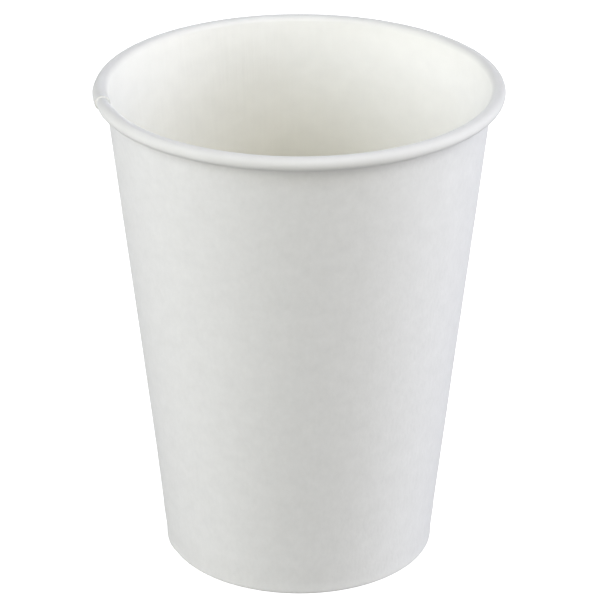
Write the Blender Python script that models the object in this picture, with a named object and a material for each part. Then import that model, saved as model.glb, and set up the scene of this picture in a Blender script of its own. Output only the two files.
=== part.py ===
"""Paper hot cup: a conical paperboard sidewall with a rolled rim and a hem, and a bottom disc in that hem.

The cup stands on the XY plane with the centre of its foot at the origin, +Z up. Sizes are in metres.
A sheet is drawn as the run of its inner face in the (radius, height) plane. Each point of the run carries
the direction through the board to its outer face, so one run gives both faces of the sheet.
"""

import math
from collections import namedtuple

import bmesh
import bpy
from mathutils import Matrix, Vector

mm = 0.001

# Driving dimensions of the cup
cup_height = 111 * mm
rim_diameter = 90 * mm
foot_diameter = 60 * mm
board = 0.36 * mm

# Rolled rim
roll_diameter = 3.1 * mm
roll_clearance = 0.08 * mm

# Lapped side seam, as a strip of even width up the wall
lap_width = 7.5 * mm
lap_rise_length = 6 * mm
lap_azimuth = math.radians(187)
lap_inset_share = 0.5

# Hem and bottom disc
base_recess = 7.5 * mm
base_board = 0.3 * mm
base_bend_radius = 0.9 * mm
fold_radius = 0.2 * mm
hem_relief = 1 * mm
seat_clearance = 0.3 * mm

# Facets
facets_around = 72
lap_facets = 3
rise_facets = 3
wall_rows = 4
roll_facets = 16
bend_facets = 3
crease_angle = math.radians(35)

weld_distance = 0.001 * mm

# The paperboard's finish
board_colour = (0.87, 0.87, 0.85, 1)
board_roughness = 0.85
board_metallic = 0

# Sizes worked out from the values above
roll_radius = roll_diameter / 2
roll_centre = Vector((rim_diameter / 2 - roll_radius, cup_height - roll_radius))
foot_radius = foot_diameter / 2
channel_width = seat_clearance + base_board + seat_clearance
base_height = base_recess + base_board
hem_height = base_recess - hem_relief
skirt_foot_height = board + seat_clearance

SheetPoint = namedtuple("SheetPoint", "place through doubling inset")
Station = namedtuple("Station", "arc turn plies rise")


def wall_lean():
    """The wall's angle from upright, with which its inner face runs into the roll without a kink."""
    run = roll_centre.x - foot_radius
    rise = roll_centre.y
    return math.atan2(run, rise) - math.asin((roll_radius - board) / math.hypot(run, rise))


lean = wall_lean()
out_of_the_wall = Vector((math.cos(lean), -math.sin(lean)))


def beside_wall(depth, height):
    """The point at this height on the line that lies this deep behind the wall's outer face."""
    radius = foot_radius + height * math.tan(lean) - depth / math.cos(lean)
    return Vector((radius, height))


def turned(direction, angle):
    """A direction in the (radius, height) plane, turned clockwise."""
    return Matrix.Rotation(-angle, 2) @ direction


def rounded_corner(before, corner, after, radius, steps):
    """Points round a filleted corner of a run, each with the direction away from the bend's centre."""
    arriving = (corner - before).normalized()
    leaving = (after - corner).normalized()
    bend = arriving.angle_signed(leaving)
    setback = radius * math.tan(abs(bend) / 2)
    outward = turned(arriving, -math.copysign(math.pi / 2, bend))
    centre = corner - arriving * setback - outward * radius
    pairs = []
    for step in range(steps + 1):
        direction = turned(outward, bend * step / steps)
        pairs.append((centre + direction * radius, direction))
    return pairs


def smooth_step(share):
    return share * share * (3 - 2 * share)


def hem_and_wall_run():
    """The inner face from the hem's top edge, down, round the foot and up the wall.

    The doubled board of the lap is pressed flat on the foot, so that the cup stands on one plane.
    Below the bottom disc the lap stands outwards only, which leaves the disc's skirt its room.
    """
    hem_top = beside_wall(board + channel_width, hem_height)
    hem_corner = beside_wall(board + channel_width, board)
    wall_corner = beside_wall(board, board)
    wall_top = roll_centre - out_of_the_wall * roll_radius
    run = [SheetPoint(hem_top, -out_of_the_wall, 1, 0)]
    for before, corner, after, side in (
        (hem_top, hem_corner, wall_corner, -out_of_the_wall),
        (hem_corner, wall_corner, wall_top, out_of_the_wall),
    ):
        for place, outward in rounded_corner(before, corner, after, fold_radius, bend_facets):
            doubling = (1 + outward.y) / (1 + side.y)
            run.append(SheetPoint(place, outward, doubling, 0))
    above_base = beside_wall(board, base_height + base_bend_radius)
    run.append(SheetPoint(above_base, out_of_the_wall, 1, 0))
    for row in range(1, wall_rows):
        place = above_base.lerp(wall_top, row / wall_rows)
        run.append(SheetPoint(place, out_of_the_wall, 1, lap_inset_share))
    return run


def roll_run(rise):
    """The rim's roll, from the wall's inner face over the top and round until the free edge meets the wall.

    Where the board is doubled it takes up room on both sides, so that the edge meets the wall sooner.
    """
    reach = roll_radius + lap_inset_share * rise * board
    room = roll_radius - board - (1 - lap_inset_share) * rise * board - roll_clearance
    full_turn = 2 * math.pi - math.acos(room / reach)
    run = []
    for step in range(roll_facets + 1):
        towards_centre = turned(out_of_the_wall, full_turn * step / roll_facets)
        place = roll_centre - towards_centre * roll_radius
        run.append(SheetPoint(place, towards_centre, 1, lap_inset_share))
    return run


def face_offsets(station, point):
    """How far the inner face, the ply joint and the outer face lie from a sheet point, at a station."""
    inwards = -point.inset * point.doubling * board
    outwards = (1 - point.inset) * point.doubling * board
    if station.plies == "lap":
        return inwards, inwards + board, outwards + board
    if station.plies == "outer ply":
        lift = outwards * station.rise
        return lift, lift, lift + board
    lift = inwards * station.rise
    return lift, lift + board, lift + board


def seam_stations():
    """The stations round the cup, from the inner ply's edge once around to the lap and through it.

    One by the seam has its distance from the lap's centre line, one elsewhere its share of the way round.
    """
    half = lap_width / 2
    stations = []
    for step in range(rise_facets + 1):
        share = step / rise_facets
        arc = half + lap_rise_length * share
        stations.append(Station(arc, None, "outer ply", 1 - smooth_step(share)))
    free_facets = facets_around - lap_facets - 2 * rise_facets
    for step in range(1, free_facets):
        stations.append(Station(None, step / free_facets, "outer ply", 0))
    for step in range(rise_facets + 1):
        share = 1 - step / rise_facets
        arc = -half - lap_rise_length * share
        stations.append(Station(arc, None, "inner ply", 1 - smooth_step(share)))
    for step in range(lap_facets + 1):
        stations.append(Station(-half + lap_width * step / lap_facets, None, "lap", 1))
    return stations


def azimuth(station, radius):
    """The station's azimuth at this radius: the lap keeps its width, so its angle is larger lower down."""
    if station.turn is None:
        return lap_azimuth + station.arc / radius
    seam_half_angle = (lap_width / 2 + lap_rise_length) / radius
    return lap_azimuth + seam_half_angle + (2 * math.pi - 2 * seam_half_angle) * station.turn


def in_space(place, angle):
    """A point of the (radius, height) plane, swung round the cup's axis."""
    return Vector((place.x * math.cos(angle), place.x * math.sin(angle), place.y))


def section_ring(station):
    """The sheet's closed outline at one station: up the inner face and back down the outer face."""
    inner_face = []
    outer_face = []
    joint = []
    for point in hem_and_wall_run() + roll_run(station.rise):
        angle = azimuth(station, point.place.x)
        offsets = face_offsets(station, point)
        inner, middle, outer = (in_space(point.place + point.through * offset, angle) for offset in offsets)
        inner_face.append(inner)
        joint.append(middle)
        outer_face.append(outer)
    return [joint[0]] + inner_face + [joint[-1]] + outer_face[::-1]


def board_material(name):
    material = bpy.data.materials.new(name)
    material.use_nodes = True
    shader = material.node_tree.nodes["Principled BSDF"]
    shader.inputs["Base Color"].default_value = board_colour
    shader.inputs["Roughness"].default_value = board_roughness
    shader.inputs["Metallic"].default_value = board_metallic
    return material


def finished_object(name, mesh_builder):
    """Welds the builder's points, turns its faces outwards and makes it a named object of the scene."""
    bmesh.ops.remove_doubles(mesh_builder, verts=mesh_builder.verts, dist=weld_distance)
    bmesh.ops.recalc_face_normals(mesh_builder, faces=mesh_builder.faces)
    mesh = bpy.data.meshes.new(name)
    mesh_builder.to_mesh(mesh)
    mesh_builder.free()
    mesh.shade_smooth()
    mesh.set_sharp_from_angle(angle=crease_angle)
    mesh.materials.append(board_material(name + "_board"))
    made = bpy.data.objects.new(name, mesh)
    bpy.context.scene.collection.objects.link(made)
    return made


def make_sidewall():
    """One blank, wrapped into a cone and sealed along its lap, with a rolled top edge and a hemmed foot."""
    builder = bmesh.new()
    rings = []
    for station in seam_stations():
        rings.append([builder.verts.new(point) for point in section_ring(station)])
    for ring, following in zip(rings, rings[1:] + rings[:1]):
        for index in range(len(ring)):
            before = index - 1
            builder.faces.new((ring[before], ring[index], following[index], following[before]))
    return finished_object("sidewall", builder)


def make_bottom_disc():
    """A round blank drawn into a shallow pan: a flat disc whose skirt turns down into the hem."""
    centre = Vector((0, base_height))
    corner = beside_wall(board + seat_clearance, base_height)
    skirt_foot = beside_wall(board + seat_clearance, skirt_foot_height)
    upper_face = [centre]
    under_face = [centre - Vector((0, base_board))]
    for place, outward in rounded_corner(centre, corner, skirt_foot, base_bend_radius, bend_facets):
        upper_face.append(place)
        under_face.append(place - outward * base_board)
    upper_face.append(skirt_foot)
    under_face.append(skirt_foot - out_of_the_wall * base_board)
    builder = bmesh.new()
    outline = [builder.verts.new(in_space(place, 0)) for place in upper_face + under_face[::-1]]
    edges = [builder.edges.new(pair) for pair in zip(outline, outline[1:])]
    bmesh.ops.spin(
        builder,
        geom=outline + edges,
        cent=Vector(),
        axis=Vector((0, 0, 1)),
        angle=2 * math.pi,
        steps=facets_around,
    )
    return finished_object("bottom_disc", builder)


for old in list(bpy.data.objects):
    bpy.data.objects.remove(old)

make_sidewall()
make_bottom_disc()
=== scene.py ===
# %% [markdown]
# A paper hot cup, made the way its two sheets of board are made.
#
# A paper cup looks like a turned vase, but it is a folded thing: one blank is wrapped into a cone and
# lapped, its top edge is rolled into the rim, and its bottom edge is hemmed round a second, smaller
# blank. So this lesson draws the path that each sheet takes, gives it the thickness of board, and sweeps
# it round the axis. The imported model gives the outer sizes, and every piece made here stays inside it.

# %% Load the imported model
import math

import bpy
from mathutils import Matrix, Vector


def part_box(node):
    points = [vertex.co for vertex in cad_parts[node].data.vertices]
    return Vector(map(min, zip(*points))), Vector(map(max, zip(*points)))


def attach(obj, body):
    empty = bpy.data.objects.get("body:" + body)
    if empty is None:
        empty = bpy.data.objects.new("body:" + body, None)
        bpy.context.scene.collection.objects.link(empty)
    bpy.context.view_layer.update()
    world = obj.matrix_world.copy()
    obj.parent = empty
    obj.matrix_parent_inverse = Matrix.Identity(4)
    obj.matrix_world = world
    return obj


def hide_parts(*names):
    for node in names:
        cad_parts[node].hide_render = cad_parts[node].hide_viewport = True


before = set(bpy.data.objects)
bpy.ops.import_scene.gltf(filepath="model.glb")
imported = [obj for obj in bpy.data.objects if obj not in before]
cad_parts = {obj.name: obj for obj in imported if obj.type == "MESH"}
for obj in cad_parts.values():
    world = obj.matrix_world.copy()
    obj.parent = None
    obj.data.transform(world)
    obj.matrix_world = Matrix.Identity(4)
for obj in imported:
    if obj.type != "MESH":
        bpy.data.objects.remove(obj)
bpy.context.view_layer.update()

# %% [markdown]
# The camera stands where the photographer's stood: nearly 25 degrees above the table and far off, with a
# long lens, so that the rim is a flat oval and the sides hardly converge. It is set before any modelling,
# because each later choice is judged through it. Its place and its lens come from fitting the rim's two
# ovals and the sides, and from comparing the edges of early renders with the photograph.

# %% Camera
MM = 0.001
CAMERA_ELEVATION = math.radians(24.72)
CAMERA_DISTANCE = 729 * MM
CAMERA_SIDESTEP = 0.11 * MM
AIM_HEIGHT = 58.585 * MM
LENS_MM = 194.6
SENSOR_MM = 36


def linked_object(name, data):
    """A new object in the scene, at the origin."""
    thing = bpy.data.objects.new(name, data)
    bpy.context.scene.collection.objects.link(thing)
    return thing


camera_data = bpy.data.cameras.new("photographer")
camera_data.lens = LENS_MM
camera_data.sensor_width = SENSOR_MM
camera = linked_object("photographer", camera_data)
camera.location = (
    CAMERA_SIDESTEP,
    -CAMERA_DISTANCE * math.cos(CAMERA_ELEVATION),
    AIM_HEIGHT + CAMERA_DISTANCE * math.sin(CAMERA_ELEVATION),
)
camera.rotation_euler = (math.pi / 2 - CAMERA_ELEVATION, 0, 0)
bpy.context.scene.camera = camera
print("camera at", [round(value, 3) for value in camera.location])

# %% [markdown]
# The sizes that shape the cup. The rim's width, the cup's height and the level of the bottom disc are
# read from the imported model, so that the cup made here cannot drift away from it. What its box does not
# show, such as the board's thickness and the width of the lap, is named here.

# %% Sizes
wall_low, wall_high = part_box("sidewall")
_, disc_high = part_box("bottom_disc")

BOARD = 0.36 * MM
ROLL_RADIUS = 1.55 * MM
ROLL_CLEARANCE = 0.08 * MM
FOOT_RADIUS = 30 * MM
FOLD_RADIUS = 0.2 * MM
SEAT_CLEARANCE = 0.3 * MM
BASE_BOARD = 0.3 * MM
BASE_BEND_RADIUS = 0.9 * MM
HEM_RELIEF = 1 * MM
LAP_WIDTH = 7.5 * MM
LAP_RISE_LENGTH = 6 * MM
LAP_AZIMUTH = math.radians(187)
LAP_INSET_SHARE = 0.5

rim_radius = -wall_low.y
cup_height = wall_high.z - LAP_INSET_SHARE * BOARD
base_height = disc_high.z
roll_centre = Vector((rim_radius - ROLL_RADIUS, cup_height - ROLL_RADIUS))
channel_width = SEAT_CLEARANCE + BASE_BOARD + SEAT_CLEARANCE
hem_height = base_height - BASE_BOARD - HEM_RELIEF
seam_reach = LAP_WIDTH / 2 + LAP_RISE_LENGTH

run_out = roll_centre.x - FOOT_RADIUS
lean = math.atan2(run_out, roll_centre.y)
lean -= math.asin((ROLL_RADIUS - BOARD) / math.hypot(run_out, roll_centre.y))
out_of_the_wall = Vector((math.cos(lean), -math.sin(lean)))
print(f"rim radius {rim_radius / MM:.2f} mm, height {cup_height / MM:.2f} mm")
print(f"the wall leans out by {math.degrees(lean):.2f} degrees")

# %% [markdown]
# A sheet is drawn as a run: the path of its inner face in the plane of radius and height. Each point also
# carries the direction through the board, so that one run gives both faces. It could be one drawn
# outline, but then the thickness would have to be kept even by hand round every bend.

# %% Drawing a run


class RunPoint:
    """One point of a sheet's path, and the direction through the board there.

    Doubling says how much of a lap's second ply stands proud, and inset how much of it is pressed in.
    Fluted and slack say how strongly the flutes and the slow waves work there.
    """

    def __init__(self, place, through, doubling=1, inset=0, fluted=0, slack=0):
        self.place = place
        self.through = through
        self.doubling = doubling
        self.inset = inset
        self.fluted = fluted
        self.slack = slack


def beside_wall(depth, height):
    """The point at this height on the line that lies this deep behind the wall's outer face."""
    return Vector((FOOT_RADIUS + height * math.tan(lean) - depth / math.cos(lean), height))


def turned(direction, angle):
    """The direction turned clockwise, from up towards out."""
    return Matrix.Rotation(-angle, 2) @ direction


def smooth_step(share):
    """Eases from nothing to all, level at both ends."""
    share = min(max(share, 0), 1)
    return share * share * (3 - 2 * share)


def rounded_corner(before, corner, after, radius, steps):
    """Points round a filleted corner, each with the direction away from the bend's centre."""
    arriving = (corner - before).normalized()
    leaving = (after - corner).normalized()
    bend = arriving.angle_signed(leaving)
    outward = turned(arriving, -math.copysign(math.pi / 2, bend))
    centre = corner - arriving * radius * math.tan(abs(bend) / 2) - outward * radius
    directions = [turned(outward, bend * step / steps) for step in range(steps + 1)]
    return [(centre + direction * radius, direction) for direction in directions]


# %% [markdown]
# The sidewall's run starts at the raw edge of the hem, goes down inside the foot, round the fold, up the
# long straight wall and over the rim, where it curls outwards until its free edge all but meets the wall.
# The fold presses the doubled board of the lap flat, or the cup would rock on its own seam. Round the
# foot the layers pressed behind the wall push it out a little, and most where it turns over the fold.

# %% The sidewall's run
HEM_ROWS = 9
FOLD_ROWS = 5
FOOT_ROWS = 12
WALL_ROWS = 14
ROLL_ROWS = 32
FLUTE_FADE = 0.7 * MM
FLUTE_LEFT_AT_TOP = 0.4
LAP_INSET_FADE = 12 * MM
PRESSED_SWELL = 0.08 * MM
PRESSED_ABOVE = 2.2 * MM
PRESSED_SPAN = 2.5 * MM
BEAD_SWELL = 0.17 * MM
BEAD_HEIGHT = 2.4 * MM
BEAD_SPAN = 2 * MM


def flute_strength(height):
    """The knurling is full along the hem's middle and fades out towards its two edges."""
    low = smooth_step((height - BOARD) / FLUTE_FADE)
    high = smooth_step((hem_height - height) / FLUTE_FADE + FLUTE_LEFT_AT_TOP)
    return low * high


def foot_swell(height):
    """How far the wall stands out over the pressed skirt and hem, and over the fold."""
    pressed = PRESSED_SWELL * smooth_step((base_height + PRESSED_ABOVE - height) / PRESSED_SPAN)
    bead = BEAD_SWELL * smooth_step((BEAD_HEIGHT - height) / BEAD_SPAN)
    return pressed + bead


def hem_and_wall_run():
    """The sheet's inner face from the hem's raw edge down, round the fold and up to the roll."""
    hem_top = beside_wall(BOARD + channel_width, hem_height)
    hem_corner = beside_wall(BOARD + channel_width, BOARD)
    wall_corner = beside_wall(BOARD, BOARD)
    wall_top = roll_centre - out_of_the_wall * ROLL_RADIUS
    run = []
    fold_top = hem_corner.lerp(hem_top, FOLD_RADIUS / hem_height)
    for row in range(HEM_ROWS):
        place = hem_top.lerp(fold_top, row / HEM_ROWS)
        run.append(RunPoint(place, -out_of_the_wall, fluted=flute_strength(place.y)))
    for before, corner, after, side in (
        (hem_top, hem_corner, wall_corner, -out_of_the_wall),
        (hem_corner, wall_corner, wall_top, out_of_the_wall),
    ):
        for place, outward in rounded_corner(before, corner, after, FOLD_RADIUS, FOLD_ROWS):
            swell = foot_swell(place.y) if side == out_of_the_wall else 0
            swollen = place + Vector((swell, 0))
            run.append(RunPoint(swollen, outward, doubling=(1 + outward.y) / (1 + side.y)))
    fold_end = run[-1].place.y
    wall_foot = beside_wall(BOARD, base_height + PRESSED_ABOVE)
    for row in range(1, FOOT_ROWS):
        place = beside_wall(BOARD, fold_end).lerp(wall_foot, row / FOOT_ROWS)
        run.append(RunPoint(place + Vector((foot_swell(place.y), 0)), out_of_the_wall))
    for row in range(WALL_ROWS):
        place = wall_foot.lerp(wall_top, row / WALL_ROWS)
        inset = LAP_INSET_SHARE * smooth_step((place.y - wall_foot.y) / LAP_INSET_FADE)
        slack = math.sin(math.pi * row / WALL_ROWS)
        run.append(RunPoint(place, out_of_the_wall, inset=inset, slack=slack))
    return run


def roll_run(rise):
    """The rim's roll. Where the board is doubled the free edge meets the wall sooner."""
    reach = ROLL_RADIUS + LAP_INSET_SHARE * rise * BOARD
    room = ROLL_RADIUS - BOARD - (1 - LAP_INSET_SHARE) * rise * BOARD - ROLL_CLEARANCE
    full_turn = 2 * math.pi - math.acos(room / reach)
    run = []
    for row in range(ROLL_ROWS + 1):
        inward = turned(out_of_the_wall, full_turn * row / ROLL_ROWS)
        run.append(RunPoint(roll_centre - inward * ROLL_RADIUS, inward, inset=LAP_INSET_SHARE))
    return run


print(len(hem_and_wall_run()) + len(roll_run(0)), "points along the sidewall's sheet")

# %% [markdown]
# Round the cup the section hardly changes, except at the seam. There the sheet's two ends overlap: one
# ply slides outwards over the other, and each raw edge stands as a step one board high. Four key sections
# say it all: the plain wall, the outer ply where it climbs, the inner ply where it is pressed in, and the
# lap itself. Each of their points also keeps its layer: 0 on the film's side, 1 on the bare side, and a
# half in between.

# %% Key sections


def face_offsets(point, plies, rise):
    """How far the inner face, the ply joint and the outer face lie from a run point."""
    inwards = -point.inset * point.doubling * BOARD
    outwards = (1 - point.inset) * point.doubling * BOARD
    if plies == "lap":
        return inwards, inwards + BOARD, outwards + BOARD
    if plies == "outer":
        return outwards * rise, outwards * rise, outwards * rise + BOARD
    return inwards * rise, inwards * rise + BOARD, inwards * rise + BOARD


def outline(faces):
    """The closed outline of a sheet: over one free edge, along one face, over the other edge and back."""
    inner, joint, outer = (list(column) for column in zip(*faces))
    return [joint[0]] + inner + [joint[-1]] + outer[::-1]


def wall_section(plies, rise):
    faces = []
    for point in hem_and_wall_run() + roll_run(rise):
        offsets = face_offsets(point, plies, rise)
        faces.append([point.place + point.through * offset for offset in offsets])
    return outline(faces)


def travel_along(run):
    """The distance along the sheet at each of its points."""
    travelled = [0]
    for before, point in zip(run, run[1:]):
        travelled.append(travelled[-1] + (point.place - before.place).length)
    return travelled


FILM_LAYER = 0
EDGE_LAYER = 0.5
BOARD_LAYER = 1
LAYERS = (FILM_LAYER, EDGE_LAYER, BOARD_LAYER)
CHANGES = ("outer", "inner", "lap")


def keep_numbers(mesh, name, values):
    """Stores one number for each point of a helper mesh."""
    attribute = mesh.attributes.new(name, "FLOAT", "POINT")
    attribute.data.foreach_set("value", [float(value) for value in values])


def keep_vectors(mesh, name, vectors):
    """Stores one vector for each point of a helper mesh."""
    attribute = mesh.attributes.new(name, "FLOAT_VECTOR", "POINT")
    for item, vector in zip(attribute.data, vectors):
        item.vector = vector


def section_object(name, run, sections):
    """A helper object that holds the key sections as attributes of its points, for the sweep to read."""
    plain = sections["plain"]
    mesh = bpy.data.meshes.new(name)
    mesh.from_pydata([(point.x, 0, point.y) for point in plain], [], [])
    for key in CHANGES:
        pairs = zip(plain, sections.get(key, plain))
        keep_vectors(mesh, "to_" + key, [(end.x - start.x, 0, end.y - start.y) for start, end in pairs])
    directions = outline([[point.through] * len(LAYERS) for point in run])
    keep_vectors(mesh, "through", [(direction.x, 0, direction.y) for direction in directions])
    keep_numbers(mesh, "travel", outline([[value] * len(LAYERS) for value in travel_along(run)]))
    keep_numbers(mesh, "layer", outline([LAYERS] * len(run)))
    keep_numbers(mesh, "fluted", outline([[point.fluted] * len(LAYERS) for point in run]))
    keep_numbers(mesh, "slack", outline([[point.slack] * len(LAYERS) for point in run]))
    print(name, "holds", len(plain), "points")
    return linked_object(name, mesh)


wall_run = hem_and_wall_run() + roll_run(0)
wall_sections = section_object(
    "wall_sections",
    wall_run,
    {
        "plain": wall_section("outer", 0),
        "outer": wall_section("outer", 1),
        "inner": wall_section("inner", 1),
        "lap": wall_section("lap", 1),
    },
)

# %% [markdown]
# Stations say where the sections stand. Near the seam a station is measured in millimetres from the lap's
# centre line, because the lap is a strip of even width and so takes a wider angle at the foot than at the
# rim. The rest share what is left of the circle. At each raw edge two stations stand at one place, and
# the step is between them.

# %% Stations
STATIONS_AROUND = 504
LAP_STATIONS = 20
RISE_STATIONS = 14


def station_object(name, stations):
    """A helper with a point for each station: arc and turn place it, and mix weighs the key sections."""
    mesh = bpy.data.meshes.new(name)
    mesh.from_pydata([(0, 0, 0)] * len(stations), [], [])
    arcs, turns, mixes, raw = zip(*stations)
    keep_numbers(mesh, "arc", arcs)
    keep_numbers(mesh, "turn", turns)
    keep_numbers(mesh, "raw", raw)
    keep_vectors(mesh, "mix", mixes)
    return linked_object(name, mesh)


def seam_stations():
    """Once round from the lap: the outer ply coming down, the plain wall, the inner ply, and the lap."""
    half = LAP_WIDTH / 2
    stations = []
    for step in range(RISE_STATIONS + 1):
        share = step / RISE_STATIONS
        stations.append((half + LAP_RISE_LENGTH * share, 0, (1 - smooth_step(share), 0, 0), step == 0))
    free = STATIONS_AROUND - LAP_STATIONS - 2 * RISE_STATIONS
    for step in range(1, free):
        stations.append((seam_reach, step / free, (0, 0, 0), False))
    for step in range(RISE_STATIONS + 1):
        share = 1 - step / RISE_STATIONS
        arc = 2 * seam_reach - half - LAP_RISE_LENGTH * share
        stations.append((arc, 1, (0, 1 - smooth_step(share), 0), step == RISE_STATIONS))
    for step in range(LAP_STATIONS + 1):
        arc = 2 * seam_reach - half + LAP_WIDTH * step / LAP_STATIONS
        stations.append((arc, 1, (0, 0, 1), step in (0, LAP_STATIONS)))
    return stations


wall_stations = station_object("wall_stations", seam_stations())
print(len(wall_stations.data.vertices), "stations round the cup")

# %% [markdown]
# The sweep and the finishes are node trees, and a tree written out node by node soon fills pages. With
# these few helpers a tree reads like a sum: each makes one node, plugs in what it is given and returns
# its output.

# %% Helpers for node trees


def plug(tree, socket, value):
    """Links a socket to another socket, or gives it a constant."""
    if isinstance(value, bpy.types.NodeSocket):
        tree.links.new(value, socket)
    else:
        socket.default_value = value


def add_node(tree, kind, inputs=None, **settings):
    node = tree.nodes.new(kind)
    for name, value in settings.items():
        setattr(node, name, value)
    for name, value in (inputs or {}).items():
        plug(tree, node.inputs[name], value)
    return node


def vector_sum(tree, first, second):
    node = add_node(tree, "ShaderNodeVectorMath", operation="ADD")
    plug(tree, node.inputs[0], first)
    plug(tree, node.inputs[1], second)
    return node.outputs[0]


def scaled(tree, vector, factor):
    """A vector made longer, or a colour made lighter, by a factor."""
    inputs = {"Vector": vector, "Scale": factor}
    return add_node(tree, "ShaderNodeVectorMath", inputs, operation="SCALE").outputs[0]


def maths(tree, operation, *values):
    node = add_node(tree, "ShaderNodeMath", operation=operation)
    for socket, value in zip(node.inputs, values):
        plug(tree, socket, value)
    return node.outputs[0]


def sampled(tree, geometry, name, kind, index):
    """The value of a named attribute of the geometry at one of its points."""
    field = add_node(tree, "GeometryNodeInputNamedAttribute", {"Name": name}, data_type=kind)
    inputs = {"Geometry": geometry, "Value": field.outputs["Attribute"], "Index": index}
    return add_node(tree, "GeometryNodeSampleIndex", inputs, data_type=kind).outputs["Value"]


# %% [markdown]
# The sweep follows a rule, so Geometry Nodes do it: a grid with a row for each station and a column for
# each point of the section is bent into the cup, and the same tree later makes the bottom disc. A loop in
# Python could place the points as well, but the tree keeps its sizes as named inputs, and one tree serves
# both sheets.

# %% The sweep's inputs and its grid
SWEEP_INPUTS = (
    ("Stations", "NodeSocketGeometry"),
    ("Sections", "NodeSocketObject"),
    ("Lap azimuth", "NodeSocketFloat"),
    ("Seam reach", "NodeSocketFloat"),
    ("Flute count", "NodeSocketFloat"),
    ("Flute depth", "NodeSocketFloat"),
    ("Wave size", "NodeSocketFloat"),
    ("Wave depth", "NodeSocketFloat"),
    ("Film side", "NodeSocketMaterial"),
    ("Board side", "NodeSocketMaterial"),
    ("Raw edge", "NodeSocketMaterial"),
)


def grid_and_indices(tree, stations, sections):
    """The flat grid, and for each of its points the row, the station, the column and the station count."""
    counts = []
    for geometry in (stations, sections):
        size = add_node(tree, "GeometryNodeAttributeDomainSize", {"Geometry": geometry})
        counts.append(size.outputs["Point Count"])
    inputs = {"Size X": counts[0], "Size Y": counts[1]}
    inputs["Vertices X"] = maths(tree, "ADD", counts[0], 1)
    inputs["Vertices Y"] = maths(tree, "ADD", counts[1], 1)
    grid = add_node(tree, "GeometryNodeMeshGrid", inputs)
    where = add_node(tree, "GeometryNodeInputPosition").outputs[0]
    place = add_node(tree, "ShaderNodeSeparateXYZ", {"Vector": where})
    indices = []
    for axis, count in zip("XY", counts):
        from_start = maths(tree, "ADD", place.outputs[axis], maths(tree, "DIVIDE", count, 2))
        whole = maths(tree, "ROUND", from_start)
        indices.append((whole, maths(tree, "FLOORED_MODULO", whole, count)))
    return grid.outputs["Mesh"], indices[0], indices[1][1], counts[0]


# %% [markdown]
# Each grid point then looks up its place. Its radius and height are the plain section's, plus its
# station's share of the way to each key section. Its angle adds up from the lap's azimuth, the arc
# measured along the wall at that height, and the share of the free way round.

# %% The place of each point


def mixed_section(tree, sections, stations, section_index, station_index):
    """The radius and height, as a separated vector."""
    position = add_node(tree, "GeometryNodeInputPosition").outputs[0]
    inputs = {"Geometry": sections, "Value": position, "Index": section_index}
    place = add_node(tree, "GeometryNodeSampleIndex", inputs, data_type="FLOAT_VECTOR").outputs["Value"]
    mix = sampled(tree, stations, "mix", "FLOAT_VECTOR", station_index)
    shares = add_node(tree, "ShaderNodeSeparateXYZ", {"Vector": mix}).outputs
    for key, axis in zip(CHANGES, "XYZ"):
        change = sampled(tree, sections, "to_" + key, "FLOAT_VECTOR", section_index)
        place = vector_sum(tree, place, scaled(tree, change, shares[axis]))
    return add_node(tree, "ShaderNodeSeparateXYZ", {"Vector": place}).outputs


def angle_round_cup(tree, group, stations, station_index, radius):
    """The angle of each point about the cup's axis."""
    arc = sampled(tree, stations, "arc", "FLOAT", station_index)
    turn = sampled(tree, stations, "turn", "FLOAT", station_index)
    seam_angle = maths(tree, "DIVIDE", maths(tree, "MULTIPLY", group["Seam reach"], 2), radius)
    free_angle = maths(tree, "SUBTRACT", 2 * math.pi, seam_angle)
    angle = maths(tree, "ADD", group["Lap azimuth"], maths(tree, "DIVIDE", arc, radius))
    return maths(tree, "ADD", angle, maths(tree, "MULTIPLY", turn, free_angle))


def swing(tree, radius, angle, height):
    """The place of a point at this radius, angle and height."""
    x = maths(tree, "MULTIPLY", radius, maths(tree, "COSINE", angle))
    y = maths(tree, "MULTIPLY", radius, maths(tree, "SINE", angle))
    return add_node(tree, "ShaderNodeCombineXYZ", {"X": x, "Y": y, "Z": height}).outputs[0]


# %% [markdown]
# Two small shifts through the board keep the sheet from looking turned. The hem is crimped by a knurled
# roller, which leaves fine flutes inside the foot ring. And the long wall is never quite true, so a slow
# noise moves it a little, except at the rim and the foot, where the folds hold it.

# %% Knurls and waves
WAVE_SEED = 3.7
NOISE_MIDDLE = 0.5


def knurling(tree, group, sections, column, angle):
    """How far the flutes move the sheet."""
    flute = maths(tree, "COSINE", maths(tree, "MULTIPLY", angle, group["Flute count"]))
    fluted = sampled(tree, sections, "fluted", "FLOAT", column)
    return maths(tree, "MULTIPLY", maths(tree, "MULTIPLY", flute, fluted), group["Flute depth"])


def unevenness(tree, group, sections, column, place):
    """How far the slow waves move the sheet."""
    scale = maths(tree, "DIVIDE", 1, group["Wave size"])
    inputs = {"Vector": place, "W": WAVE_SEED, "Scale": scale}
    noise = add_node(tree, "ShaderNodeTexNoise", inputs, noise_dimensions="4D")
    wave = maths(tree, "SUBTRACT", noise.outputs[0], NOISE_MIDDLE)
    slack = sampled(tree, sections, "slack", "FLOAT", column)
    return maths(tree, "MULTIPLY", maths(tree, "MULTIPLY", wave, slack), group["Wave depth"])


def moved_through_board(tree, sections, column, radius, height, shift):
    """The radius and height after a shift along the direction through the board."""
    through = sampled(tree, sections, "through", "FLOAT_VECTOR", column)
    direction = add_node(tree, "ShaderNodeSeparateXYZ", {"Vector": through}).outputs
    out = maths(tree, "ADD", radius, maths(tree, "MULTIPLY", shift, direction["X"]))
    up = maths(tree, "ADD", height, maths(tree, "MULTIPLY", shift, direction["Z"]))
    return out, up


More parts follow.
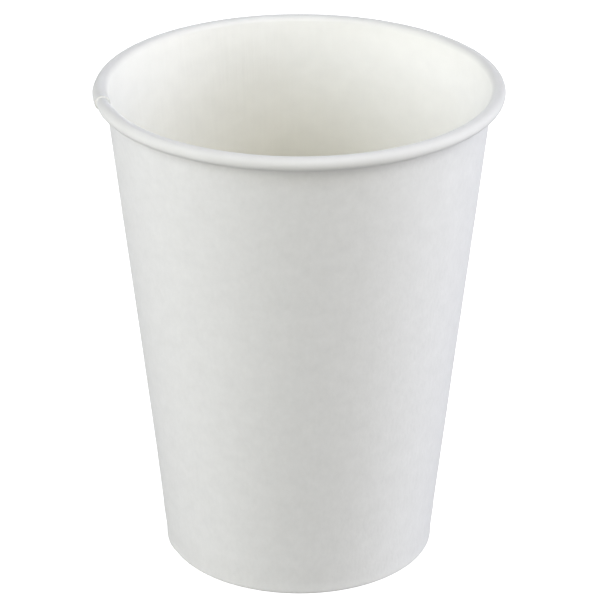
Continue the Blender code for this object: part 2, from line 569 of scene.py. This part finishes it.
# %% [markdown]
# While the grid is still flat, its faces learn what they are made of: film inside, bare board outside,
# and raw edge where the board was cut. They also keep a flat map in metres along the sheet, so that the
# grain follows the board over its bends, as the fibres of the real blank do.

# %% Finishes and the flat map
TEXTURE_RADIUS = 36 * MM
LAYER_MARGIN = 0.1
HALF_A_ROW = 0.5


def on_faces(tree, value):
    """The value of the points, which a face then takes as the mean of its corners."""
    node = add_node(tree, "GeometryNodeFieldOnDomain", domain="POINT", data_type="FLOAT")
    plug(tree, node.inputs["Value"], value)
    return node.outputs[0]


def finished_faces(tree, geometry, layer, raw, group):
    """Gives each face its finish. Raw edge is what is left, and each end of the sheet at the lap."""
    on_film = maths(tree, "LESS_THAN", layer, FILM_LAYER + LAYER_MARGIN)
    on_board = maths(tree, "GREATER_THAN", layer, BOARD_LAYER - LAYER_MARGIN)
    at_end = maths(tree, "GREATER_THAN", raw, 1 - LAYER_MARGIN)
    choices = (("Raw edge", True), ("Film side", on_film), ("Board side", on_board), ("Raw edge", at_end))
    for name, chosen in choices:
        inputs = {"Geometry": geometry, "Selection": chosen, "Material": group[name]}
        geometry = add_node(tree, "GeometryNodeSetMaterial", inputs).outputs[0]
    return geometry


def flat_map(tree, mesh, row, station_count, angle, travel):
    """Stores the way round and the way along the sheet. The last faces go on past the full turn."""
    last_row = maths(tree, "SUBTRACT", station_count, HALF_A_ROW)
    past_end = maths(tree, "GREATER_THAN", row, last_row)
    whole_turn = maths(tree, "MULTIPLY", past_end, 2 * math.pi)
    around = maths(tree, "MULTIPLY", maths(tree, "ADD", angle, whole_turn), TEXTURE_RADIUS)
    flat = add_node(tree, "ShaderNodeCombineXYZ", {"X": around, "Y": travel}).outputs[0]
    inputs = {"Geometry": mesh, "Name": "UVMap", "Value": flat}
    stored = add_node(tree, "GeometryNodeStoreNamedAttribute", inputs, data_type="FLOAT2", domain="CORNER")
    return stored.outputs[0]


# %% [markdown]
# The whole tree puts these together. Last it bends the grid, welds the edges that now meet and turns the
# faces outwards. A disc's outline touches the axis at both ends, so the strip of faces between them has
# no width, and it is cut away first.

# %% The whole tree
MERGE_DISTANCE = 0.001 * MM


def bent_sheet(tree, mesh, radius, place):
    """The grid bent into the sheet, closed and turned outwards."""
    on_axis = maths(tree, "LESS_THAN", on_faces(tree, radius), MERGE_DISTANCE)
    strip = {"Geometry": mesh, "Selection": on_axis}
    mesh = add_node(tree, "GeometryNodeDeleteGeometry", strip, domain="FACE").outputs[0]
    mesh = add_node(tree, "GeometryNodeSetPosition", {"Geometry": mesh, "Position": place}).outputs[0]
    welded = {"Geometry": mesh, "Distance": MERGE_DISTANCE}
    mesh = add_node(tree, "GeometryNodeMergeByDistance", welded).outputs[0]
    mesh = add_node(tree, "GeometryNodeFlipFaces", {"Mesh": mesh}).outputs[0]
    mesh = add_node(tree, "GeometryNodeSetShadeSmooth", {"Geometry": mesh}).outputs[0]
    return add_node(tree, "GeometryNodeRealizeInstances", {"Geometry": mesh}).outputs[0]


def sweep_tree():
    tree = bpy.data.node_groups.new("Swept sheet", "GeometryNodeTree")
    tree.is_modifier = True
    for name, kind in SWEEP_INPUTS:
        tree.interface.new_socket(name, in_out="INPUT", socket_type=kind)
    tree.interface.new_socket("Sheet", in_out="OUTPUT", socket_type="NodeSocketGeometry")
    group = tree.nodes.new("NodeGroupInput").outputs
    stations = group["Stations"]
    source = {"Object": group["Sections"]}
    info = add_node(tree, "GeometryNodeObjectInfo", source, transform_space="ORIGINAL")
    sections = info.outputs["Geometry"]
    mesh, (row, station), column, station_count = grid_and_indices(tree, stations, sections)

    radius, _, height = mixed_section(tree, sections, stations, column, station)
    angle = angle_round_cup(tree, group, stations, station, radius)
    pressed = knurling(tree, group, sections, column, angle)
    waved = unevenness(tree, group, sections, column, swing(tree, radius, angle, height))
    shift = maths(tree, "ADD", pressed, waved)
    out, up = moved_through_board(tree, sections, column, radius, height, shift)

    layer = on_faces(tree, sampled(tree, sections, "layer", "FLOAT", column))
    raw = on_faces(tree, sampled(tree, stations, "raw", "FLOAT", station))
    mesh = finished_faces(tree, mesh, layer, raw, group)
    travel = sampled(tree, sections, "travel", "FLOAT", column)
    mesh = flat_map(tree, mesh, row, station_count, angle, travel)
    mesh = bent_sheet(tree, mesh, radius, swing(tree, out, angle, up))
    tree.links.new(mesh, tree.nodes.new("NodeGroupOutput").inputs[0])
    return tree


swept_sheet = sweep_tree()
print("the sweep has", len(swept_sheet.nodes), "nodes")

# %% [markdown]
# A modifier on the station object runs the tree. Its inputs go by the identifiers that Blender gave them,
# not by their names. The result becomes a plain mesh, because a finished part carries no live nodes.
# Corners as sharp as a cut edge stay sharp, and all else is shaded smooth.

# %% Run the sweep
SHARP_ANGLE = math.radians(40)


def swept(name, stations, sections, **values):
    """Runs the sweep over a station object and returns its result as a plain mesh object."""
    modifier = stations.modifiers.new("Sweep", "NODES")
    modifier.node_group = swept_sheet
    identifiers = {
        item.name: item.identifier
        for item in swept_sheet.interface.items_tree
        if item.item_type == "SOCKET" and item.in_out == "INPUT"
    }
    modifier[identifiers["Sections"]] = sections
    for key, value in values.items():
        modifier[identifiers[key.replace("_", " ").capitalize()]] = value
    graph = bpy.context.evaluated_depsgraph_get()
    mesh = bpy.data.meshes.new_from_object(stations.evaluated_get(graph), depsgraph=graph)
    mesh.name = name
    mesh.materials.pop(index=0)
    mesh.set_sharp_from_angle(angle=SHARP_ANGLE)
    piece = linked_object(name, mesh)
    for helper in (stations, sections):
        bpy.data.objects.remove(helper)
    print(name, "has", sum(len(face.vertices) - 2 for face in mesh.polygons), "triangles")
    return piece


# %% [markdown]
# Paper is plain at arm's length and lively up close. Each finish starts from one Principled shader and
# adds detail measured in millimetres: a drift of tone, a drift of roughness, and relief. A scanned
# picture of paper would do too, but noise keeps its scale on any piece and never repeats.

# %% Helpers for the finishes
NOISE_LOW = 0.33
NOISE_HIGH = 0.67
PLAIN_DETAIL = 2.0
PLAIN_CRISPNESS = 0.5


def new_finish(name, colour, specular):
    """A new material, its tree and its Principled shader."""
    material = bpy.data.materials.new(name)
    material.use_nodes = True
    shader = material.node_tree.nodes["Principled BSDF"]
    shader.inputs["Base Color"].default_value = (*colour, 1)
    shader.inputs["Specular IOR Level"].default_value = specular
    return material, material.node_tree, shader


def surface_place(tree, on_disc, stretch=1):
    """Millimetres along the sheet, squeezed where a grain runs one way. The disc uses its own plane."""
    source = add_node(tree, "ShaderNodeTexCoord").outputs["Object" if on_disc else "UV"]
    scale = (1 / MM, 1 / (MM * stretch), 1 / MM)
    return add_node(tree, "ShaderNodeMapping", {"Vector": source, "Scale": scale}).outputs[0]


def noise_on(tree, place, size, detail=PLAIN_DETAIL, crispness=PLAIN_CRISPNESS):
    """A noise whose grains are about this many millimetres wide."""
    inputs = {"Vector": place, "Scale": 1 / size, "Detail": detail, "Roughness": crispness}
    return add_node(tree, "ShaderNodeTexNoise", inputs).outputs[0]


def between(tree, share, low, high):
    """Maps a noise, which mostly stays within a third to two thirds, onto a range."""
    inputs = {"Value": share, "To Min": low, "To Max": high}
    inputs["From Min"] = NOISE_LOW
    inputs["From Max"] = NOISE_HIGH
    return add_node(tree, "ShaderNodeMapRange", inputs).outputs[0]


def mixed_colour(tree, first, second, share):
    """The first colour where the share is 0, and the second where it is 1."""
    rest = maths(tree, "SUBTRACT", 1.0, share)
    return vector_sum(tree, scaled(tree, first, rest), scaled(tree, second, share))


def relief(tree, height, depth, below=None):
    """Bumps this deep, laid over coarser ones where there are any."""
    inputs = {"Height": height, "Distance": depth, "Strength": 1.0}
    if below is not None:
        inputs["Normal"] = below
    return add_node(tree, "ShaderNodeBump", inputs).outputs[0]


# %% [markdown]
# Outside, the cup is bare white board. It is matte, and its fibres lie mostly up the wall. Where they lie
# thicker the board is a little whiter, so its tone drifts by three parts in a hundred. Where light rakes
# over them they show as relief of a few hundredths of a millimetre. Deeper relief would look like
# leather.

# %% Bare board
BOARD_WHITE = (0.73, 0.73, 0.725)
BOARD_SPECULAR = 0.3
BOARD_ROUGHNESS = (0.74, 0.86)
BOARD_TONE = 0.032
FINE_DETAIL = 3.0
FIBRE_SIZE_MM = 1.1
FIBRE_STRETCH = 1.6
FIBRE_CRISPNESS = 0.6
FIBRE_DEPTH = 0.06 * MM
CLOUD_SIZE_MM = 4.0
CLOUD_DEPTH = 0.015 * MM
CLOUD_SHARE = 0.5


def bare_board(name, on_disc=False):
    material, tree, shader = new_finish(name, BOARD_WHITE, BOARD_SPECULAR)
    clouds = noise_on(tree, surface_place(tree, on_disc), CLOUD_SIZE_MM, FINE_DETAIL)
    grain = surface_place(tree, on_disc, FIBRE_STRETCH)
    fibres = noise_on(tree, grain, FIBRE_SIZE_MM, FINE_DETAIL, FIBRE_CRISPNESS)
    cloudy = maths(tree, "MULTIPLY", clouds, CLOUD_SHARE)
    fibrous = maths(tree, "MULTIPLY", fibres, 1 - CLOUD_SHARE)
    tone = between(tree, maths(tree, "ADD", cloudy, fibrous), 1 - BOARD_TONE, 1 + BOARD_TONE)
    plug(tree, shader.inputs["Base Color"], scaled(tree, BOARD_WHITE, tone))
    plug(tree, shader.inputs["Roughness"], between(tree, fibres, *BOARD_ROUGHNESS))
    soft = relief(tree, clouds, CLOUD_DEPTH)
    plug(tree, shader.inputs["Normal"], relief(tree, fibres, FIBRE_DEPTH, below=soft))
    return material


# %% [markdown]
# Inside, the board carries a thin plastic film. It is a little warmer and smoother than bare board, with
# faint streaks up the wall from the roller that laid it on. Its colour also holds painted light. Near the
# rim it is almost neutral. Down the wall it turns to a warmer, slightly lighter tint, which is painted
# bounce light standing for the warm light that goes round in the shade of the cup. Round the roll it turns
# greyer, which is painted shade that makes the roll's top darker than the lights alone leave it.

# %% Film on the inside
FILM_WHITE = (0.858, 0.856, 0.83)
# Painted bounce light: this warm, lighter tint deep in the cup stands for the warm light in its shade.
DEEP_PAINTED_BOUNCE_TINT = (0.9, 0.878, 0.79)
# Painted shade: this grey on the roll stands for less light on the roll's top than the lamps give it.
ROLL_PAINTED_SHADE = (0.712, 0.71, 0.7)
FILM_SPECULAR = 0.3
FILM_ROUGHNESS = (0.54, 0.66)
FILM_TONE = 0.014
STREAK_SIZE_MM = 0.9
STREAK_STRETCH = 30
STREAK_DEPTH = 0.05 * MM
LIT_DEPTH = 8 * MM
DEEP_DEPTH = 42 * MM
# This is how far round the roll the painted shade takes to come in.
ROLL_SHADE_LENGTH = 1.5 * MM

roll_start = travel_along(wall_run)[len(hem_and_wall_run())]


def share_along(tree, start, end):
    """Nothing up to one place along the sheet, and all from another."""
    flat = add_node(tree, "ShaderNodeTexCoord").outputs["UV"]
    travel = add_node(tree, "ShaderNodeSeparateXYZ", {"Vector": flat}).outputs["Y"]
    span = {"Value": travel, "From Min": start, "From Max": end, "To Min": 0.0, "To Max": 1.0}
    return add_node(tree, "ShaderNodeMapRange", span).outputs[0]


def film_colour_with_painted_light(tree):
    """Painted light: a warm, lighter bounce tint deep in the cup, whiter film near the rim, and painted
    grey shade round the roll.
    """
    # The painted warm bounce tint fades out from deep in the cup to near the rim.
    lit = share_along(tree, roll_start - DEEP_DEPTH, roll_start - LIT_DEPTH)
    # The painted grey shade comes in over the start of the roll.
    rolled = share_along(tree, roll_start, roll_start + ROLL_SHADE_LENGTH)
    return mixed_colour(tree, mixed_colour(tree, DEEP_PAINTED_BOUNCE_TINT, FILM_WHITE, lit), ROLL_PAINTED_SHADE, rolled)


def film(name, on_disc=False):
    material, tree, shader = new_finish(name, FILM_WHITE, FILM_SPECULAR)
    clouds = noise_on(tree, surface_place(tree, on_disc), CLOUD_SIZE_MM, FINE_DETAIL)
    streaks = noise_on(tree, surface_place(tree, on_disc, STREAK_STRETCH), STREAK_SIZE_MM)
    tone = between(tree, clouds, 1 - FILM_TONE, 1 + FILM_TONE)
    # The disc lies deep in the cup, so it takes the painted warm bounce tint all over.
    colour = DEEP_PAINTED_BOUNCE_TINT if on_disc else film_colour_with_painted_light(tree)
    plug(tree, shader.inputs["Base Color"], scaled(tree, colour, tone))
    plug(tree, shader.inputs["Roughness"], between(tree, clouds, *FILM_ROUGHNESS))
    soft = relief(tree, clouds, CLOUD_DEPTH)
    plug(tree, shader.inputs["Normal"], relief(tree, streaks, STREAK_DEPTH, below=soft))
    return material


# %% [markdown]
# Where the blank was cut, its core shows: a line of fuzzy, slightly creamy pulp, as wide as the board is
# thick. It is the pale line across the roll where the seam comes over the rim.

# %% Raw cut edge
EDGE_WHITE = (0.78, 0.775, 0.76)
EDGE_SPECULAR = 0.2
EDGE_ROUGHNESS = 0.95
EDGE_TONE = 0.04
FUZZ_SIZE_MM = 0.12
FUZZ_DEPTH = 0.02 * MM


def cut_edge(name, on_disc=False):
    material, tree, shader = new_finish(name, EDGE_WHITE, EDGE_SPECULAR)
    fuzz = noise_on(tree, surface_place(tree, on_disc), FUZZ_SIZE_MM, FINE_DETAIL)
    tone = between(tree, fuzz, 1 - EDGE_TONE, 1 + EDGE_TONE)
    plug(tree, shader.inputs["Base Color"], scaled(tree, EDGE_WHITE, tone))
    plug(tree, shader.inputs["Roughness"], EDGE_ROUGHNESS)
    plug(tree, shader.inputs["Normal"], relief(tree, fuzz, FUZZ_DEPTH))
    return material


# %% [markdown]
# Now the sidewall can be made in one go. The knurling and the waves are the only sizes that belong to the
# sweep alone: the flutes are about two millimetres wide, and the waves are longer than a fingertip and
# far too low to measure by hand.

# %% Make the sidewall
HEM_FLUTES = 84.0
HEM_FLUTE_DEPTH = 0.09 * MM
WALL_WAVE_SIZE = 24 * MM
WALL_WAVE_DEPTH = 0.3 * MM

sidewall = swept(
    "sidewall_sheet",
    wall_stations,
    wall_sections,
    lap_azimuth=LAP_AZIMUTH,
    seam_reach=seam_reach,
    flute_count=HEM_FLUTES,
    flute_depth=HEM_FLUTE_DEPTH,
    wave_size=WALL_WAVE_SIZE,
    wave_depth=WALL_WAVE_DEPTH,
    film_side=film("wall_film"),
    board_side=bare_board("wall_board_side"),
    raw_edge=cut_edge("wall_cut_edge"),
)

# %% [markdown]
# The bottom is a second, thinner blank, drawn into a shallow pan. Its skirt turns down into the channel
# between the wall and the hem, where the layers are pressed together. The solids leave a small gap there
# in place of the press fit. Here the skirt lies close to the wall, so that no gap shows from above.

# %% The bottom disc's run
DISC_ROWS = 14
BEND_ROWS = 6
SKIRT_ROWS = 6
VISUAL_SEAT = 0.06 * MM


def disc_run():
    """The disc's upper face from the centre out, round the drawn bend, and down the skirt."""
    depth = BOARD + VISUAL_SEAT
    centre = Vector((0, base_height))
    corner = beside_wall(depth, base_height)
    skirt_foot = beside_wall(depth, BOARD + SEAT_CLEARANCE)
    run = []
    bend = rounded_corner(centre, corner, skirt_foot, BASE_BEND_RADIUS, BEND_ROWS)
    for row in range(DISC_ROWS):
        place = centre.lerp(bend[0][0], row / DISC_ROWS)
        run.append(RunPoint(place, Vector((0, 1)), slack=math.cos(math.pi / 2 * row / DISC_ROWS)))
    for row, (place, outward) in enumerate(bend):
        run.append(RunPoint(place, outward, fluted=row / BEND_ROWS))
    for row in range(1, SKIRT_ROWS + 1):
        place = bend[-1][0].lerp(skirt_foot, row / SKIRT_ROWS)
        run.append(RunPoint(place, out_of_the_wall, fluted=1))
    return run


def disc_section():
    faces = []
    for point in disc_run():
        faces.append([point.place - point.through * BASE_BOARD * layer for layer in LAYERS])
    return outline(faces)


# %% [markdown]
# A round blank has too much board at its edge once that is turned down, and the extra gathers in fine
# crimps. So the disc's flutes are finer and shallower than the hem's, and there are more of them.

# %% Make the bottom disc
DISC_STATIONS = 360
SKIRT_CRIMPS = 120.0
CRIMP_DEPTH = 0.03 * MM
DISC_WAVE_SIZE = 18 * MM
DISC_WAVE_DEPTH = 0.3 * MM

disc_stations = station_object(
    "disc_stations", [(0, step / DISC_STATIONS, (0, 0, 0), False) for step in range(DISC_STATIONS)]
)
bottom_disc = swept(
    "bottom_disc_sheet",
    disc_stations,
    section_object("disc_sections", disc_run(), {"plain": disc_section()}),
    flute_count=SKIRT_CRIMPS,
    flute_depth=CRIMP_DEPTH,
    wave_size=DISC_WAVE_SIZE,
    wave_depth=DISC_WAVE_DEPTH,
    film_side=film("disc_film", on_disc=True),
    board_side=bare_board("disc_board_side", on_disc=True),
    raw_edge=cut_edge("disc_cut_edge", on_disc=True),
)

# %% [markdown]
# The two sheets stand in for the plain solids, which stay hidden and go on serving for collisions. A cup
# has no moving parts, so both ride on the one body.

# %% Dress the model
DRESSED = (
    (sidewall, "sidewall", "wall_board"),
    (bottom_disc, "bottom_disc", "base_board"),
)

for piece, node, slot in DRESSED:
    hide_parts(node)
    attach(piece, "root")
    print(piece.name, "stands for", node)

# %% [markdown]
# The photograph shows pure white all round the cup, as on a light table. A truly white floor would throw
# so much light up under the rim that the dark line there would be lost. So the floor is grey to the light
# that falls on it, and glows white for the camera only, which adds no light to the cup.

# %% Floor
FLOOR_HALF_WIDTH = 3
FLOOR_GREY = 0.4
FLOOR_GLOW = 1.0
FLOOR_SPECULAR = 0.1
FLOOR_ROUGHNESS = 0.9

floor_mesh = bpy.data.meshes.new("floor")
signs = ((-1, -1), (1, -1), (1, 1), (-1, 1))
corners = [(x * FLOOR_HALF_WIDTH, y * FLOOR_HALF_WIDTH, 0) for x, y in signs]
floor_mesh.from_pydata(corners, [], [(0, 1, 2, 3)])
floor = linked_object("floor", floor_mesh)

floor_white, floor_tree, floor_shader = new_finish("floor_white", [FLOOR_GREY] * 3, FLOOR_SPECULAR)
floor_shader.inputs["Roughness"].default_value = FLOOR_ROUGHNESS
floor_shader.inputs["Emission Color"].default_value = (1, 1, 1, 1)
seen = add_node(floor_tree, "ShaderNodeLightPath").outputs["Is Camera Ray"]
glow = maths(floor_tree, "MULTIPLY", seen, FLOOR_GLOW)
plug(floor_tree, floor_shader.inputs["Emission Strength"], glow)
floor_mesh.materials.append(floor_white)
print("floor", 2 * FLOOR_HALF_WIDTH, "metres wide")

# %% [markdown]
# Softboxes stand round the table, a little over a metre off, as in a small studio. Most of the light
# comes from the two sides, so that the wall is bright along both edges and falls to a soft grey towards
# the middle, which is what shows that it is round. The strengths and tints in front and at the sides
# began as a least-squares fit: each box was rendered alone, and the pictures were weighed against the
# photograph. They were then rounded, and changed a little from render to render. The low box behind
# keeps the far side from going dark when the camera walks round.

# %% Lights
SOFTBOX_DISTANCE = 1.2
TALL = (0.5, 0.9)
SQUARE = (0.5, 0.5)
SOFTBOXES = (
    ("right", 2, 28, TALL, 4.3, (0.8, 0.87, 1.0)),
    ("right_high", 5, 55, SQUARE, 1.7, (1.0, 0.97, 1.0)),
    ("right_low", 350, 12.5, SQUARE, 4.9, (1.0, 0.97, 0.98)),
    ("left", 203, 30, TALL, 10.5, (0.87, 0.91, 1.0)),
    ("left_low", 192, 12.5, SQUARE, 2.3, (1.0, 0.9, 0.6)),
    ("front_right", 337, 40, SQUARE, 4.4, (0.945, 0.955, 1.0)),
    ("front", 262, 30, TALL, 4.8, (0.99, 0.97, 0.83)),
    ("back_low", 90, 12.5, SQUARE, 4.5, (0.95, 0.97, 1.0)),
)


def softbox(name, azimuth, elevation, size, energy, colour):
    """A flat light that looks at the foot of the cup from this side and this high, in degrees."""
    light = bpy.data.lights.new(name, "AREA")
    light.shape = "RECTANGLE"
    light.size, light.size_y = size
    light.energy = energy
    light.color = colour
    box = linked_object(name, light)
    around, up = math.radians(azimuth), math.radians(elevation)
    flat = Vector((math.cos(around), math.sin(around), 0)) * math.cos(up)
    box.location = (flat + Vector((0, 0, math.sin(up)))) * SOFTBOX_DISTANCE
    box.rotation_euler = box.location.to_track_quat("Z", "Y").to_euler()


for row in SOFTBOXES:
    softbox(*row)
print(len(SOFTBOXES), "softboxes,", round(sum(row[4] for row in SOFTBOXES), 1), "watts in all")

# %% [markdown]
# No light comes from the room itself, or the fine shade inside the cup would be washed out. From a low
# camera the floor ends at a horizon, so the backdrop too is white for the camera only. The Standard view
# shows the colours as they are, without the curve of a film look, as a catalogue picture does.

# %% Backdrop and view
world = bpy.data.worlds.new("studio")
world.use_nodes = True
backdrop = world.node_tree.nodes["Background"]
backdrop.inputs["Color"].default_value = (1, 1, 1, 1)
in_view = add_node(world.node_tree, "ShaderNodeLightPath").outputs["Is Camera Ray"]
plug(world.node_tree, backdrop.inputs["Strength"], in_view)
bpy.context.scene.world = world
bpy.context.scene.view_settings.view_transform = "Standard"
print("view transform:", bpy.context.scene.view_settings.view_transform)
